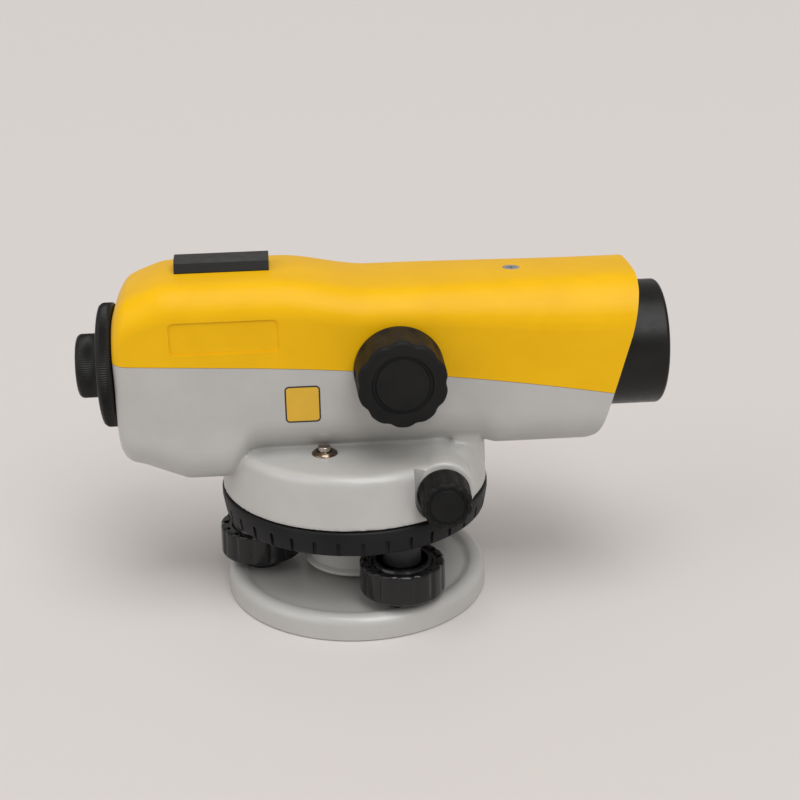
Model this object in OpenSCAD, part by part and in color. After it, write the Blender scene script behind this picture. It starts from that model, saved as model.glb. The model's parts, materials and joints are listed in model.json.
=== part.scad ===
// Automatic level with a notched horizontal circle, an endless tangent drive and a laser button.
// Origin: centre of the tripod face under the base plate. +X runs along the line of sight
// towards the objective, +Z is up. All sizes are millimetres.

/* [Levelling base] */
// Diameter of the base plate
base_d = 100; // [94:1:120]
// Height of the base plate at its rim
base_h = 9.5; // [9:0.5:14]
// Radius of the circle on which the three foot screws stand
foot_circle_r = 37; // [34:0.5:40]
// Direction of the first foot screw, in degrees from the line of sight
foot_angle = -66; // [-90:1:-30]
// Diameter of a foot screw knob
foot_knob_d = 31.8; // [26:0.5:34]
// Height of a foot screw knob
foot_knob_h = 12; // [9:0.5:15]
// Gap under a foot screw knob
foot_knob_gap = 3.5; // [3:0.5:6]
// Diameter of a foot screw
foot_screw_d = 6; // [5:0.5:8]
// Diameter of the ball at the end of a foot screw
foot_ball_d = 7; // [6:0.5:8]
// Diameter of the sleeve round a foot screw
foot_sleeve_d = 14; // [12:0.5:16]
// Core diameter of the tripod thread (5/8 inch, 11 threads per inch)
tripod_bore_d = 13.5; // [13:0.1:14]

/* [Horizontal circle] */
// Outer diameter of the circle at its upper edge
circle_d = 101.3; // [96:0.5:110]
// Height of the circle
circle_h = 9.9; // [7:0.1:13]
// Distance from the foot screw knobs up to the circle
circle_rise = 9.2; // [8:0.1:12]
// Number of finger notches round the circle
notch_count = 36; // [12:1:48]

/* [Drum and tangent drive] */
// Height of the drum, from the circle to the ledge
drum_h = 19.6; // [18:0.1:26]
// Diameter of the ledge on top of the drum
ledge_d = 94; // [90:1:98]
// Wall of the castings
wall = 2.4; // [2:0.1:3]
// Diameter of the vertical spindle
spindle_d = 18; // [14:0.5:20]
// Distance of the worm from the vertical axis
worm_x = 29.7; // [27:0.1:32]
// Height of the worm above the foot of the drum
worm_rise = 9.7; // [8:0.1:10]
// Pitch diameter of the worm
worm_d = 10; // [8:0.5:12]
// Number of teeth on the worm wheel
wheel_teeth = 90; // [60:2:96]
// Diameter of a tangent knob
tangent_knob_d = 19.4; // [16:0.2:20]
// Length of a tangent knob
tangent_knob_l = 12; // [8:0.5:16]
// Distance between the inner faces of the two tangent knobs
tangent_span = 83; // [80:1:96]

/* [Telescope housing] */
// Height of the line of sight above the ledge
sight_rise = 29.5; // [28:0.5:36]
// Width of the housing
body_w = 51; // [50:1:60]
// Distance from the vertical axis to the rear face
rear_x = 86; // [84:1:100]
// Distance from the vertical axis to the foremost edge of the hood
front_x = 102; // [98:1:120]
// Height of the shoulders above the line of sight
shoulder_rise = 28.7; // [27:0.1:34]
// Extra height of the rear hump
hump_h = 4.6; // [0:0.1:8]
// Rise of the crown between the shoulders
crown_h = 2.2; // [0.5:0.1:4]
// Radius of the upper shoulders
shoulder_r = 10; // [6:0.5:14]
// Radius of the lower corners
keel_r = 14; // [8:0.5:16]
// Depth of the rear housing below the ledge
belly_drop = 11.3; // [4:0.5:14]
// Height of the seam above the line of sight, where its straight rear part ends
seam_rise = 5.4; // [2:0.1:7]

/* [Optics] */
// Outer diameter of the objective barrel
objective_d = 46.3; // [42:0.1:48]
// Distance from the vertical axis to the front of the objective
objective_x = 114.4; // [112:0.1:130]
// Outer diameter of the telescope tube
tube_d = 39; // [36:0.5:42]
// Wall of the telescope tube
tube_wall = 2; // [1.5:0.1:2.5]
// Diameter of the knurled reticle cover
cover_ring_d = 45.9; // [40:0.1:48]
// Width of the knurled reticle cover
cover_ring_w = 5.7; // [4:0.1:8]
// Diameter of the eyepiece ring
eyepiece_d = 23.7; // [21:0.1:26]
// Length of the eyepiece ring
eyepiece_l = 8.4; // [6:0.1:12]

/* [Focusing drive] */
// Diameter of the focusing knob at its foot
focus_knob_d = 32.6; // [26:0.2:34]
// Length of the focusing knob
focus_knob_l = 17.5; // [12:0.5:24]
// Distance of the focusing knob from the vertical axis
focus_x = 15.6; // [12:0.1:20]
// Height of the focusing knob above the line of sight
focus_rise = 3; // [2.8:0.1:4]
// Number of teeth on the focusing pinion
pinion_teeth = 10; // [8:1:12]
// Module of the focusing pinion and rack
pinion_module = 0.5; // [0.4:0.05:0.6]

/* [Small fittings] */
// Length of the peep sight
peep_l = 34; // [20:1:44]
// Height of the peep sight above the crown
peep_h = 4.4; // [3:0.1:7]
// Diameter of the laser button
button_d = 4.7; // [3:0.1:5.5]
// Travel of the laser button
button_travel = 0.8; // [0.4:0.1:1]
// Diameter of the circular level
vial_d = 17; // [14:0.5:19]

/* [Clearances] */
// Radial clearance of a running fit
run_fit = 0.03; // [0.02:0.01:0.08]
// Gap between neighbouring bodies that don't bear on each other
gap = 0.3; // [0.2:0.05:0.5]

/* [Hidden] */
$fn = 64;

// Heights, from the tripod face up
ball_z = 4.6;
cup_h = 2.8;
dish_z = base_h - 1.9;
knob_z = base_h + foot_knob_gap;
knob_top = knob_z + foot_knob_h;
circle_z = knob_top + circle_rise;
circle_top = circle_z + circle_h;
drum_z = circle_top + gap;
ledge_z = drum_z + drum_h;
deck_z = ledge_z - 2.8;
sight_z = ledge_z + sight_rise;
focus_z = sight_z + focus_rise;
worm_z = drum_z + worm_rise;

// Base
base_r = base_d / 2;
rim_r = 3.5;
recess_r = base_r - 6;
recess_h = 3;
bush_outer_r = 11;
plate_t = 0.8;
plate_screw_r = 30;
socket_r = 6;
cap_z = dish_z + 0.2;
screw_r = foot_screw_d / 2;
ball_r = foot_ball_d / 2;
neck_r = ball_r - 1.3;
pivot_r = screw_r - 1.6;
hub_z = base_h + 1.3;
hub_r = 18.7;
disc_r = circle_d / 2 - 5.15;
disc_z = circle_z - 1.2;
disc_top = circle_z + 3.3;
sleeve_low = knob_top - 0.5;
nut_r = screw_r + 2;
screw_top = disc_top - 1.8;
foot_angles = [foot_angle, foot_angle - 120, foot_angle + 120];

// Vertical axis
spindle_r = spindle_d / 2;
bush_r = spindle_r + 2.5;
sleeve_r = bush_r + 2.5;
shoulder_ring_r = sleeve_r + 3;
wheel_h = 6;
wheel_z = worm_z - wheel_h / 2;
sleeve_top = wheel_z + wheel_h + 0.4;
flange_z = sleeve_top + 0.9;
nut_z = hub_z + 1.4;
nut_top = hub_z + 4.3;
wheel_pitch_r = worm_x - worm_d / 2;
tooth_short = 0.15;

// Housing
body_r = body_w / 2;
shoulder_z = sight_z + shoulder_rise;
belly_z = ledge_z - belly_drop;
front_drop = 2.6;
drum_r = circle_d / 2 - 0.3;
ledge_r = ledge_d / 2;
floor_z = ledge_z + wall;
seam_x = -40;
seam_slope = 0.055;
seam_bow = 0.00049;
tube_r = tube_d / 2;
bore_r = tube_r - tube_wall;
barrel_r = objective_d / 2;
lens_r = barrel_r - 2.6;
pocket_y = tangent_span / 2 - 0.6;
pocket_x = worm_x - 11;
cavity_r = drum_r - 3;
cavity_top_r = ledge_r - 3.2;
plate_top = drum_z + 1.6;
plate_r = cavity_r - (cavity_r - cavity_top_r) * (plate_top - drum_z + 1) / (deck_z - drum_z + 1) - 0.28;
boss_r = 10.8;
comp_in = 10;
comp_out = 11.5;
pinion_r = pinion_teeth * pinion_module / 2;
side_in = body_r - wall;
comp_x = -28;
hinge_z = sight_z + 19;
cell_r = 7.5;
mount_r = 9;
seat_r = 16;
button_x = -11.7;
button_y = -(body_r - 1.9);
vial_x = -8;
vial_y = body_r + 8;
mirror_x = vial_x + vial_d / 2 + 3;
mirror_z = ledge_z + 9;
peep_x = -45.8;
crown_rear = shoulder_z + hump_h + crown_h;
crown_front = shoulder_z + crown_h;
cover_screw_x = 59.5;
cover_screw_places = [[cover_screw_x, crown_front], [comp_x - 12, crown_rear]];

// ---------- shapes used more than once ----------

// Points of an arc about [x, y]
function arc(c, r, a0, a1, n = 6) =
    [for (i = [0:n]) let (a = a0 + (a1 - a0) * i / n) [c[0] + r * cos(a), c[1] + r * sin(a)]];

function smooth(t) = let (u = min(1, max(0, t))) u * u * (3 - 2 * u);

// Cylinder along X, from x0 to x1
module rod_x(r, x0, x1, y = 0, z = sight_z) {
    translate([x0, y, z]) rotate([0, 90, 0]) cylinder(r = r, h = x1 - x0);
}

// Cylinder along Y, from y0 to y1
module rod_y(r, y0, y1, x = 0, z = 0) {
    translate([x, y1, z]) rotate([90, 0, 0]) cylinder(r = r, h = y1 - y0);
}

module pipe(r_out, r_in, z0, z1) {
    translate([0, 0, z0]) difference() {
        cylinder(r = r_out, h = z1 - z0);
        translate([0, 0, -1]) cylinder(r = r_in, h = z1 - z0 + 2);
    }
}

module pipe_x(r_out, r_in, x0, x1, y = 0, z = sight_z) {
    difference() {
        rod_x(r_out, x0, x1, y, z);
        rod_x(r_in, x0 - 1, x1 + 1, y, z);
    }
}

module at_foot(i) {
    rotate([0, 0, foot_angles[i]]) translate([foot_circle_r, 0, 0]) children();
}

module each_foot() {
    for (i = [0:2]) at_foot(i) children();
}

// Gear outline with straight flanks and thinned teeth
module gear_outline(teeth, pitch_r, add, ded, thin = 0.8) {
    step = 360 / teeth;
    half = step / 4 * thin;
    polygon([for (i = [0:teeth - 1]) each [
        [(pitch_r - ded) * cos(i * step - half * 1.6), (pitch_r - ded) * sin(i * step - half * 1.6)],
        [(pitch_r + add) * cos(i * step - half * 0.6), (pitch_r + add) * sin(i * step - half * 0.6)],
        [(pitch_r + add) * cos(i * step + half * 0.6), (pitch_r + add) * sin(i * step + half * 0.6)],
        [(pitch_r - ded) * cos(i * step + half * 1.6), (pitch_r - ded) * sin(i * step + half * 1.6)]]]);
}

// Knob body standing on z = 0 with grip lobes: a disc with shallow scallops cut round it
module lobed_knob(r_foot, r_top, h, lobes, cut_r, cut_depth) {
    difference() {
        rotate_extrude() polygon(concat([[0, 0]], arc([r_foot - 1, 1], 1, -90, 0, 3),
            arc([r_top - 1.4, h - 1.4], 1.4, 0, 90, 4), [[0, h]]));
        for (i = [0:lobes - 1]) rotate([0, 0, (i + 0.5) * 360 / lobes])
            translate([r_foot + cut_r - cut_depth, 0, 1.6]) cylinder(r = cut_r, h = h);
    }
}

// ---------- housing form ----------

// Height of the shoulders at x: level in front, a hump behind, rounded down at the rear face
function hump(x) = hump_h * (1 - smooth((x + 26) / 34));
function rear_round(x) = let (u = min(1, max(0, (24 - x - rear_x) / 24)))
    pow(max(0, 1 - pow(u, 3)), 1 / 3);
function top_at(x, inset) = sight_z + 16 + (shoulder_rise - 16 + hump(x)) * rear_round(x) - inset;

// Height of the underside at x: low behind the drum, level with the ledge in front
function belly_at(x, inset) = let (
    lift = smooth((x + 46) / 10),
    slope = 0.42 * min(17, max(0, 24 - x - rear_x)),
    u = min(1, max(0, (7 - x - rear_x) / 7)),
    low = belly_z + slope + 6 * (1 - sqrt(1 - u * u)))
    low * (1 - lift) + (ledge_z - front_drop * smooth((x - 44) / 8)) * lift + inset;

// Half width at x, with the rear corners rounded
function half_at(x, inset) = let (u = min(1, max(0, (-x - rear_x + 6) / 6)))
    body_r - 6 * (1 - sqrt(max(0, 1 - u * u))) - inset;

function section_at(x, inset) = let (
    w = half_at(x, inset), zt = top_at(x, inset), zb = belly_at(x, inset),
    rt = shoulder_r - inset * 0.6, rb = keel_r - inset,
    ring = concat(arc([w - rb, zb + rb], rb, -90, 0), arc([w - rt, zt - rt], rt, 0, 75, 5),
        [for (k = [2:-1:-2]) [(w - rt) * k / 2.4, zt]],
        arc([rt - w, zt - rt], rt, 105, 180, 5), arc([rb - w, zb + rb], rb, 180, 270)))
    [for (p = ring) [x, p[0], p[1] + (p[1] > zt - rt ? crown_h * (1 - pow(p[0] / w, 2))
        * (p[1] - zt + rt) / rt : 0)]];

// Solid skinned over sections along the line of sight
module skin(stations, inset) {
    rings = [for (x = stations) section_at(x, inset)];
    n = len(rings[0]);
    m = len(rings);
    polyhedron(points = [for (r = rings) each r], faces = concat(
        [[for (i = [0:n - 1]) i]], [[for (i = [n - 1:-1:0]) (m - 1) * n + i]],
        [for (k = [0:m - 2], i = [0:n - 1]) let (j = (i + 1) % n)
            each [[k * n + i, (k + 1) * n + i, (k + 1) * n + j],
                [k * n + i, (k + 1) * n + j, k * n + j]]]), convexity = 6);
}

outer_stations = concat([for (d = [0, 0.5, 1.5, 3, 5, 7, 12, 18, 24]) d - rear_x],
    [-53, -46, -43, -40, -36, -26, -18, -9, 0, 8, 44, 52, front_x + 6]);
inner_stations = concat([for (d = [wall, 4, 5.5, 7, 12, 18, 24]) d - rear_x],
    [-53, -46, -43, -40, -36, -26, -18, -9, 0, 8, 44, 52, front_x + 6]);

// Side outline of the hood's slanted front, moved back by an inset
function seam_at(x) = sight_z + seam_rise - seam_slope * (x - seam_x)
    - (x > seam_x ? seam_bow * pow(x - seam_x, 2) : 0);
front_shape = [[-21, ledge_z - 4], [-18, ledge_z + 0.5], [-16, ledge_z + 2.3], [-14.2, ledge_z + 3.9],
    [-12.5, ledge_z + 6.3], [-10.8, ledge_z + 10], [-9.3, ledge_z + 15], [-6.5, ledge_z + 24.7],
    [-3.3, ledge_z + 40.4], [-1.1, sight_z + 24], [0, sight_z + 29.5], [0.5, sight_z + 36]];
function front_edge(inset) = [for (p = front_shape) [front_x + p[0] - inset, p[1]]];
seam_line = [for (x = [-rear_x - 5, seam_x, -20, 0, 20, 40, 60, 80, front_x + 6]) [x, seam_at(x)]];

module slab(points, half = 60) {
    rotate([90, 0, 0]) linear_extrude(height = 2 * half, center = true) polygon(points);
}

module above_seam() {
    slab(concat(seam_line, [[front_x + 6, sight_z + 60], [-rear_x - 5, sight_z + 60]]));
}

module below_seam() {
    slab(concat([[-rear_x - 5, ledge_z - 30]], seam_line, [[front_x + 6, ledge_z - 30]]));
}

module behind_front(inset) {
    slab(concat([[-rear_x - 5, ledge_z - 30], [front_x - 21 - inset, ledge_z - 30]], front_edge(inset),
        [[-rear_x - 5, sight_z + 50]]));
}

module housing_cavity() {
    intersection() {
        skin(inner_stations, wall);
        behind_front(3);
    }
}

// Holes that both halves of the housing share
module housing_holes() {
    rod_x(barrel_r + 0.2, 60, front_x + 8);
    rod_x(seat_r, -rear_x - 2, -rear_x + 6);
    rod_y(6.3, -body_r - 2, -body_r + 5, focus_x, focus_z);
}

// ---------- levelling base ----------

module base_plate() {
    color("gainsboro") difference() {
        rotate_extrude($fn = 96) polygon(concat(
            [[bush_outer_r, recess_h], [recess_r, recess_h], [recess_r, 0],
            [base_r - 0.6, 0], [base_r, 0.6]],
            arc([base_r - rim_r, base_h - rim_r], rim_r, 0, 90),
            [[base_r - 4.4, base_h - 0.3], [base_r - 7, dish_z + 0.9], [hub_r + 4, dish_z],
             [bush_outer_r, dish_z]]));
        each_foot() {
            translate([0, 0, -1]) cylinder(r = socket_r, h = base_h + 2);
            translate([0, 0, cap_z]) cylinder(r = socket_r + 1.3, h = base_h);
        }
        for (i = [0:2]) rotate([0, 0, foot_angle + 60 + 120 * i]) translate([plate_screw_r, 0, 0])
            cylinder(r = 1.25, h = recess_h + 2.6);
    }
}

module tripod_bush() {
    color("darkgoldenrod") {
        pipe(bush_outer_r, tripod_bore_d / 2, 0, dish_z + 1.2);
        pipe(bush_outer_r + 4, tripod_bore_d / 2, 0, recess_h - plate_t);
    }
}

module spring_plate() {
    color("silver") translate([0, 0, recess_h - plate_t]) linear_extrude(height = plate_t)
        difference() {
            union() {
                circle(r = 19);
                for (i = [0:2]) rotate(foot_angles[i]) {
                    translate([0, -7.5]) square([foot_circle_r, 15]);
                    translate([foot_circle_r, 0]) circle(r = 7);
                    rotate(60) translate([0, -5]) square([33, 10]);
                }
            }
            circle(r = bush_outer_r);
            for (i = [0:2]) rotate(foot_angles[i]) {
                translate([foot_circle_r, 0]) circle(r = ball_r - 0.1);
                rotate(60) translate([plate_screw_r, 0]) circle(r = 1.3);
            }
        }
}

module spring_plate_screws() {
    color("dimgray") for (i = [0:2]) rotate([0, 0, foot_angle + 60 + 120 * i])
        translate([plate_screw_r, 0, recess_h - plate_t - 1.3]) {
            difference() {
                cylinder(r = 2.3, h = 1.3);
                for (a = [0, 90]) rotate([0, 0, a]) translate([-1.5, -0.3, -0.1]) cube([3, 0.6, 0.8]);
            }
            translate([0, 0, 0.9]) cylinder(r = 1.25, h = 3.4);
        }
}

module foot_caps() {
    color("dimgray") each_foot() pipe(socket_r + 1.2, neck_r + 0.9, cap_z, cap_z + 0.8);
}

module foot_cup() {
    difference() {
        translate([0, 0, recess_h + 0.35]) cylinder(r = socket_r - gap, h = cup_h);
        translate([0, 0, ball_z]) sphere(r = ball_r + gap);
        translate([0, 0, ball_z]) cylinder(r = ball_r + gap, h = 5);
    }
}

module foot_cup_a() { color("goldenrod") at_foot(0) foot_cup(); }
module foot_cups_bc() {
    color("goldenrod") for (i = [1, 2]) at_foot(i) foot_cup();
}

module tribrach() {
    color("gainsboro") difference() {
        union() {
            rotate_extrude($fn = 96) polygon([[bush_r, hub_z + 0.4], [hub_r + 1.2, hub_z],
                [hub_r + 1.7, hub_z + 0.6], [hub_r + 1.5, hub_z + 1.4], [hub_r, hub_z + 2.4],
                [hub_r, disc_z], [disc_r - 6, disc_z], [disc_r, circle_z], [disc_r, disc_top],
                [shoulder_ring_r, disc_top], [shoulder_ring_r, wheel_z - 0.1],
                [sleeve_r, wheel_z - 0.1], [sleeve_r, sleeve_top], [bush_r, sleeve_top]]);
        }
        translate([0, 0, hub_z - 1]) cylinder(r = bush_r + 1.5, h = nut_top - hub_z + 1.2);
        each_foot() translate([0, 0, disc_z - 1]) cylinder(r = nut_r, h = 12);
    }
}

module foot_sleeves() {
    color("black") each_foot() pipe(foot_sleeve_d / 2, nut_r, sleeve_low, disc_z);
}

module foot_nuts() {
    color("goldenrod") each_foot() pipe(nut_r, screw_r + run_fit, sleeve_low + 3.2, disc_top - 0.2);
}

module spindle_bush() {
    color("peru") {
        pipe(bush_r, spindle_r + run_fit, nut_top + 0.2, sleeve_top);
        pipe(sleeve_r - 0.3, spindle_r + run_fit, sleeve_top, flange_z - 0.05);
    }
}

module foot_ball() {
    translate([0, 0, ball_z]) sphere(r = ball_r);
    translate([0, 0, ball_z]) cylinder(r = neck_r, h = knob_z - 1 - ball_z);
    translate([0, 0, knob_z - 1.1]) cylinder(r = pivot_r, h = 4);
}

module foot_screw() {
    difference() {
        translate([0, 0, knob_z - 0.9]) cylinder(r = screw_r, h = screw_top - knob_z + 0.9);
        translate([0, 0, knob_z - 1.9]) cylinder(r = pivot_r + run_fit, h = 5.2);
    }
}

module foot_knob() {
    r = foot_knob_d / 2;
    notches = 14;
    difference() {
        translate([0, 0, knob_z]) lobed_knob(r, r - 0.2, foot_knob_h, notches, 9, 0.5);
        translate([0, 0, knob_z - 1]) cylinder(r = screw_r, h = foot_knob_h + 2);
        translate([0, 0, knob_top - 5]) pipe(foot_sleeve_d / 2 + 2.2, screw_r + 1.2, 0, 6);
        for (i = [0:notches - 1]) rotate([0, 0, i * 360 / notches])
            translate([r - 3.6, -1.7, knob_top - 0.9]) cube([2.4, 3.4, 2]);
    }
}

module foot_ball_a() { color("silver") at_foot(0) foot_ball(); }
module foot_ball_b() { color("silver") at_foot(1) foot_ball(); }
module foot_ball_c() { color("silver") at_foot(2) foot_ball(); }
module foot_screw_a() { color("silver") at_foot(0) foot_screw(); }
module foot_screw_b() { color("silver") at_foot(1) foot_screw(); }
module foot_screw_c() { color("silver") at_foot(2) foot_screw(); }
module foot_knob_a() { color("black") at_foot(0) foot_knob(); }
module foot_knob_b() { color("black") at_foot(1) foot_knob(); }
module foot_knob_c() { color("black") at_foot(2) foot_knob(); }

// ---------- circle, clutch and vertical axis ----------

module circle_ring() {
    r_top = circle_d / 2;
    color("#222222") difference() {
        rotate_extrude($fn = 96) polygon([[disc_r + run_fit, circle_z], [r_top - 2, circle_z],
            [r_top - 1.4, circle_z + 0.6], [r_top, circle_top - 0.8], [r_top - 0.7, circle_top],
            [r_top - 3, circle_top], [r_top - 3, disc_top + 2.1], [disc_r - 6, disc_top + 2.1],
            [disc_r - 6, disc_top + 0.05], [disc_r + run_fit, disc_top + 0.05]]);
        for (i = [0:notch_count - 1]) rotate([0, 0, i * 360 / notch_count])
            translate([r_top - 1.9, -0.7, circle_z - 1]) cube([5, 1.4, circle_h * 0.58 + 1]);
    }
}

module worm_wheel() {
    module_mm = 2 * wheel_pitch_r / wheel_teeth;
    color("goldenrod") translate([0, 0, wheel_z]) difference() {
        linear_extrude(height = wheel_h) difference() {
            gear_outline(wheel_teeth, wheel_pitch_r, 0.3 * module_mm, module_mm);
            circle(r = sleeve_r + run_fit);
        }
        for (i = [0:5]) rotate([0, 0, 60 * i]) translate([(sleeve_r + wheel_pitch_r) / 2, 0, -1])
            cylinder(r = 2, h = wheel_h + 2);
    }
}

module clutch_spring() {
    color("silver") pipe(sleeve_r + 2.4, sleeve_r, wheel_z + wheel_h + 0.05, sleeve_top);
}

module at_flange_screws() {
    for (a = [35, 145, -145, -35]) rotate([0, 0, a]) translate([spindle_r + 5, 0, 0]) children();
}

module spindle() {
    color("silver") difference() {
        union() {
            translate([0, 0, nut_top + 0.1]) cylinder(r = spindle_r, h = flange_z - nut_top);
            translate([0, 0, nut_z]) cylinder(r = spindle_r - 3, h = 4);
            translate([0, 0, flange_z]) cylinder(r = spindle_r + 9, h = deck_z - flange_z);
        }
        at_flange_screws() translate([0, 0, flange_z - 1]) cylinder(r = 1.6, h = 10);
    }
}

module spindle_screws() {
    color("dimgray") at_flange_screws() {
        translate([0, 0, flange_z + 0.2]) cylinder(r = 1.6, h = floor_z - flange_z);
        translate([0, 0, floor_z]) cylinder(r = 2.6, h = 1.4);
    }
}

module spindle_nut() {
    color("silver") pipe(bush_r + 0.9, spindle_r - 3, nut_z + 0.1, nut_top);
}

module dust_plate() {
    color("dimgray") difference() {
        pipe(plate_r, shoulder_ring_r + 1, drum_z + 0.2, plate_top);
        pocket_block(wall + gap);
    }
}

module worm_bushes() {
    color("goldenrod") for (s = [-1, 1]) difference() {
        rod_y(5, min(s * 29, s * (pocket_y + 0.2)), max(s * 29, s * (pocket_y + 0.2)), worm_x, worm_z);
        rod_y(2.5 + run_fit, -60, 60, worm_x, worm_z);
    }
}

module worm_shaft() {
    r_tip = worm_d / 2 + 0.3 * 2 * wheel_pitch_r / wheel_teeth;
    reach = r_tip + wheel_pitch_r * (1 + 0.6 / wheel_teeth) + tooth_short - worm_x;
    pitch = 2 * PI * wheel_pitch_r / wheel_teeth;
    tip = r_tip - max(0, reach);
    color("silver") union() {
        rod_y(2.5, -tangent_span / 2 - 6, tangent_span / 2 + 6, worm_x, worm_z);
        translate([worm_x, 0, worm_z]) rotate([90, 0, 0]) rotate_extrude() polygon(concat([[2.4, -11]],
            [[tip - 1.6, -11]],
            [for (k = [-5:5]) each [[tip - 1.1, (k - 0.35) * pitch], [tip, (k - 0.12) * pitch],
                [tip, (k + 0.12) * pitch], [tip - 1.1, (k + 0.35) * pitch]]],
            [[tip - 1.6, 11], [2.4, 11]]));
    }
}

module tangent_knob() {
    r = tangent_knob_d / 2;
    difference() {
        lobed_knob(r, r - 0.6, tangent_knob_l, 12, 6, 0.35);
        translate([0, 0, -1]) cylinder(r = 2.5, h = 7);
        translate([0, 0, tangent_knob_l - 0.4]) pipe(r - 2.6, r - 3.4, 0, 1);
    }
}

module tangent_knob_near() {
    color("#202020") translate([worm_x, -tangent_span / 2, worm_z]) rotate([90, 0, 0]) tangent_knob();
}

module tangent_knob_far() {
    color("#202020") translate([worm_x, tangent_span / 2, worm_z]) rotate([-90, 0, 0]) tangent_knob();
}

// ---------- housing ----------

module drum_outer() {
    rotate_extrude($fn = 96) polygon(concat([[0, drum_z], [drum_r, drum_z]],
        arc([ledge_r - 3, ledge_z - 3], 3, 8, 90), [[0, ledge_z]]));
    intersection() {
        rod_y(boss_r, -pocket_y, pocket_y, worm_x, worm_z);
        translate([worm_x - boss_r, -60, drum_z]) cube([2 * boss_r, 120, drum_h]);
    }
}

// The flats the tangent knobs stand on, one each side of the drum
module pocket_block(grow) {
    for (s = [-1, 1]) translate([pocket_x - grow, s > 0 ? pocket_y - grow : grow - pocket_y - 20,
        drum_z - 1 - grow]) cube([40, 20, drum_h - 2 + 2 * grow]);
}

module drum_inner() {
    difference() {
        translate([0, 0, drum_z - 1]) cylinder(r1 = cavity_r, r2 = cavity_top_r, h = deck_z - drum_z + 1);
        pocket_block(wall);
    }
}

module housing_lower() {
    color("lightgray") difference() {
        union() {
            intersection() {
                skin(outer_stations, 0);
                below_seam();
                behind_front(0);
            }
            drum_outer();
        }
        housing_cavity();
        difference() {
            drum_inner();
            for (s = [-1, 1]) rod_y(7.5, s > 0 ? 30 : -60, s > 0 ? 60 : -30, worm_x, worm_z);
        }
        pocket_block(0);
        rod_y(5, -60, 60, worm_x, worm_z);
        housing_holes();
        translate([button_x, button_y, deck_z - 1]) cylinder(r = 3.4, h = 8);
        at_flange_screws() translate([0, 0, deck_z - 1]) cylinder(r = 1.6, h = 12);
    }
}

module cover_upper() {
    color("#f2b705") difference() {
        intersection() {
            skin(outer_stations, 0);
            above_seam();
            behind_front(0);
        }
        housing_cavity();
        housing_holes();
        translate([-65, -body_r - 1, sight_z + 11.2]) cube([38.5, 1.4, 11.8]);
        for (q = cover_screw_places) translate([q[0], 0, q[1]]) {
            translate([0, 0, -10]) cylinder(r = 1.6, h = 20);
            translate([0, 0, -1.7]) cylinder(r1 = 1.6, r2 = 3.4, h = 1.8);
        }
    }
}

module cover_screws() {
    color("silver") for (q = cover_screw_places) translate([q[0], 0, q[1]]) difference() {
        union() {
            translate([0, 0, -1.7]) cylinder(r1 = 1.5, r2 = 3.1, h = 1.6);
            translate([0, 0, -8]) cylinder(r = 1.25, h = 7);
        }
        for (a = [0, 90]) rotate([0, 0, a]) translate([-1.7, -0.35, -0.9]) cube([3.4, 0.7, 2]);
    }
}

module peep_sight() {
    base_z = crown_rear - 1.2;
    top_z = crown_rear + peep_h;
    color("black") difference() {
        translate([peep_x - peep_l / 2, 0, 0]) rotate([90, 0, 90]) linear_extrude(height = peep_l)
            polygon([[-6.4, base_z], [6.4, base_z], [6.4, base_z + 1.4], [5, top_z - 1.2],
                [3.6, top_z], [-3.6, top_z], [-5, top_z - 1.2], [-6.4, base_z + 1.4]]);
        translate([peep_x - 25, -1.5, top_z - 3]) cube([50, 3, 1.8]);
        skin(outer_stations, 0);
    }
}

// ---------- telescope ----------

module telescope_tube() {
    color("dimgray") difference() {
        union() {
            rod_x(tube_r, comp_x + 20, 92);
            for (x = [24, 66]) translate([x, -8, belly_at(x, wall)])
                cube([12, 16, sight_z - 12 - belly_at(x, wall)]);
            translate([cover_screw_x, 0, sight_z]) cylinder(r = 4, h = crown_front - wall - 0.2 - sight_z);
        }
        rod_x(bore_r, comp_x + 19, 93);
        translate([focus_x - 30, -tube_r - 1, focus_z - pinion_r - 6])
            cube([60, 6, 2 * pinion_r + 9]);
        translate([cover_screw_x, 0, crown_front - 8.2]) cylinder(r = 1.25, h = 20);
    }
}

module objective_barrel() {
    color("#202020") difference() {
        translate([0, 0, sight_z]) rotate([0, 90, 0]) rotate_extrude($fn = 96)
            polygon(concat([[tube_r, 84], [barrel_r, 84]],
                arc([barrel_r - 1.6, objective_x - 1.6], 1.6, 0, 90, 5),
                [[lens_r + 0.6, objective_x], [lens_r, objective_x - 1], [lens_r, objective_x - 12],
                 [lens_r - 2, objective_x - 12], [lens_r - 2, 92], [tube_r, 92]]));
    }
}

// Biconvex lens of a given radius, rim thickness and bulge, its middle at x
module lens(r, rim, bulge, x) {
    ball = (r * r + bulge * bulge) / (2 * bulge);
    half = asin(r / ball);
    translate([x, 0, sight_z]) rotate([0, 90, 0]) rotate_extrude() polygon(concat(
        [for (i = [0:8]) let (a = half * i / 8) [ball * sin(a), rim / 2 + bulge - ball * (1 - cos(a))]],
        [for (i = [8:-1:0]) let (a = half * i / 8) [ball * sin(a), ball * (1 - cos(a)) - rim / 2 - bulge]]));
}

module objective_lens() {
    color("lightblue") lens(lens_r, 2.2, 1.5, objective_x - 9.4);
}

module objective_retainer() {
    color("black") pipe_x(lens_r, lens_r - 2.2, objective_x - 7, objective_x - 4.6);
}

module focus_bush() {
    color("silver") difference() {
        union() {
            rod_y(6.1, -body_r - 0.4, -side_in + 0.5, focus_x, focus_z);
            rod_y(8, -side_in, -side_in + 2.6, focus_x, focus_z);
        }
        rod_y(2 + run_fit, -body_r - 2, 0, focus_x, focus_z);
    }
}

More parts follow.
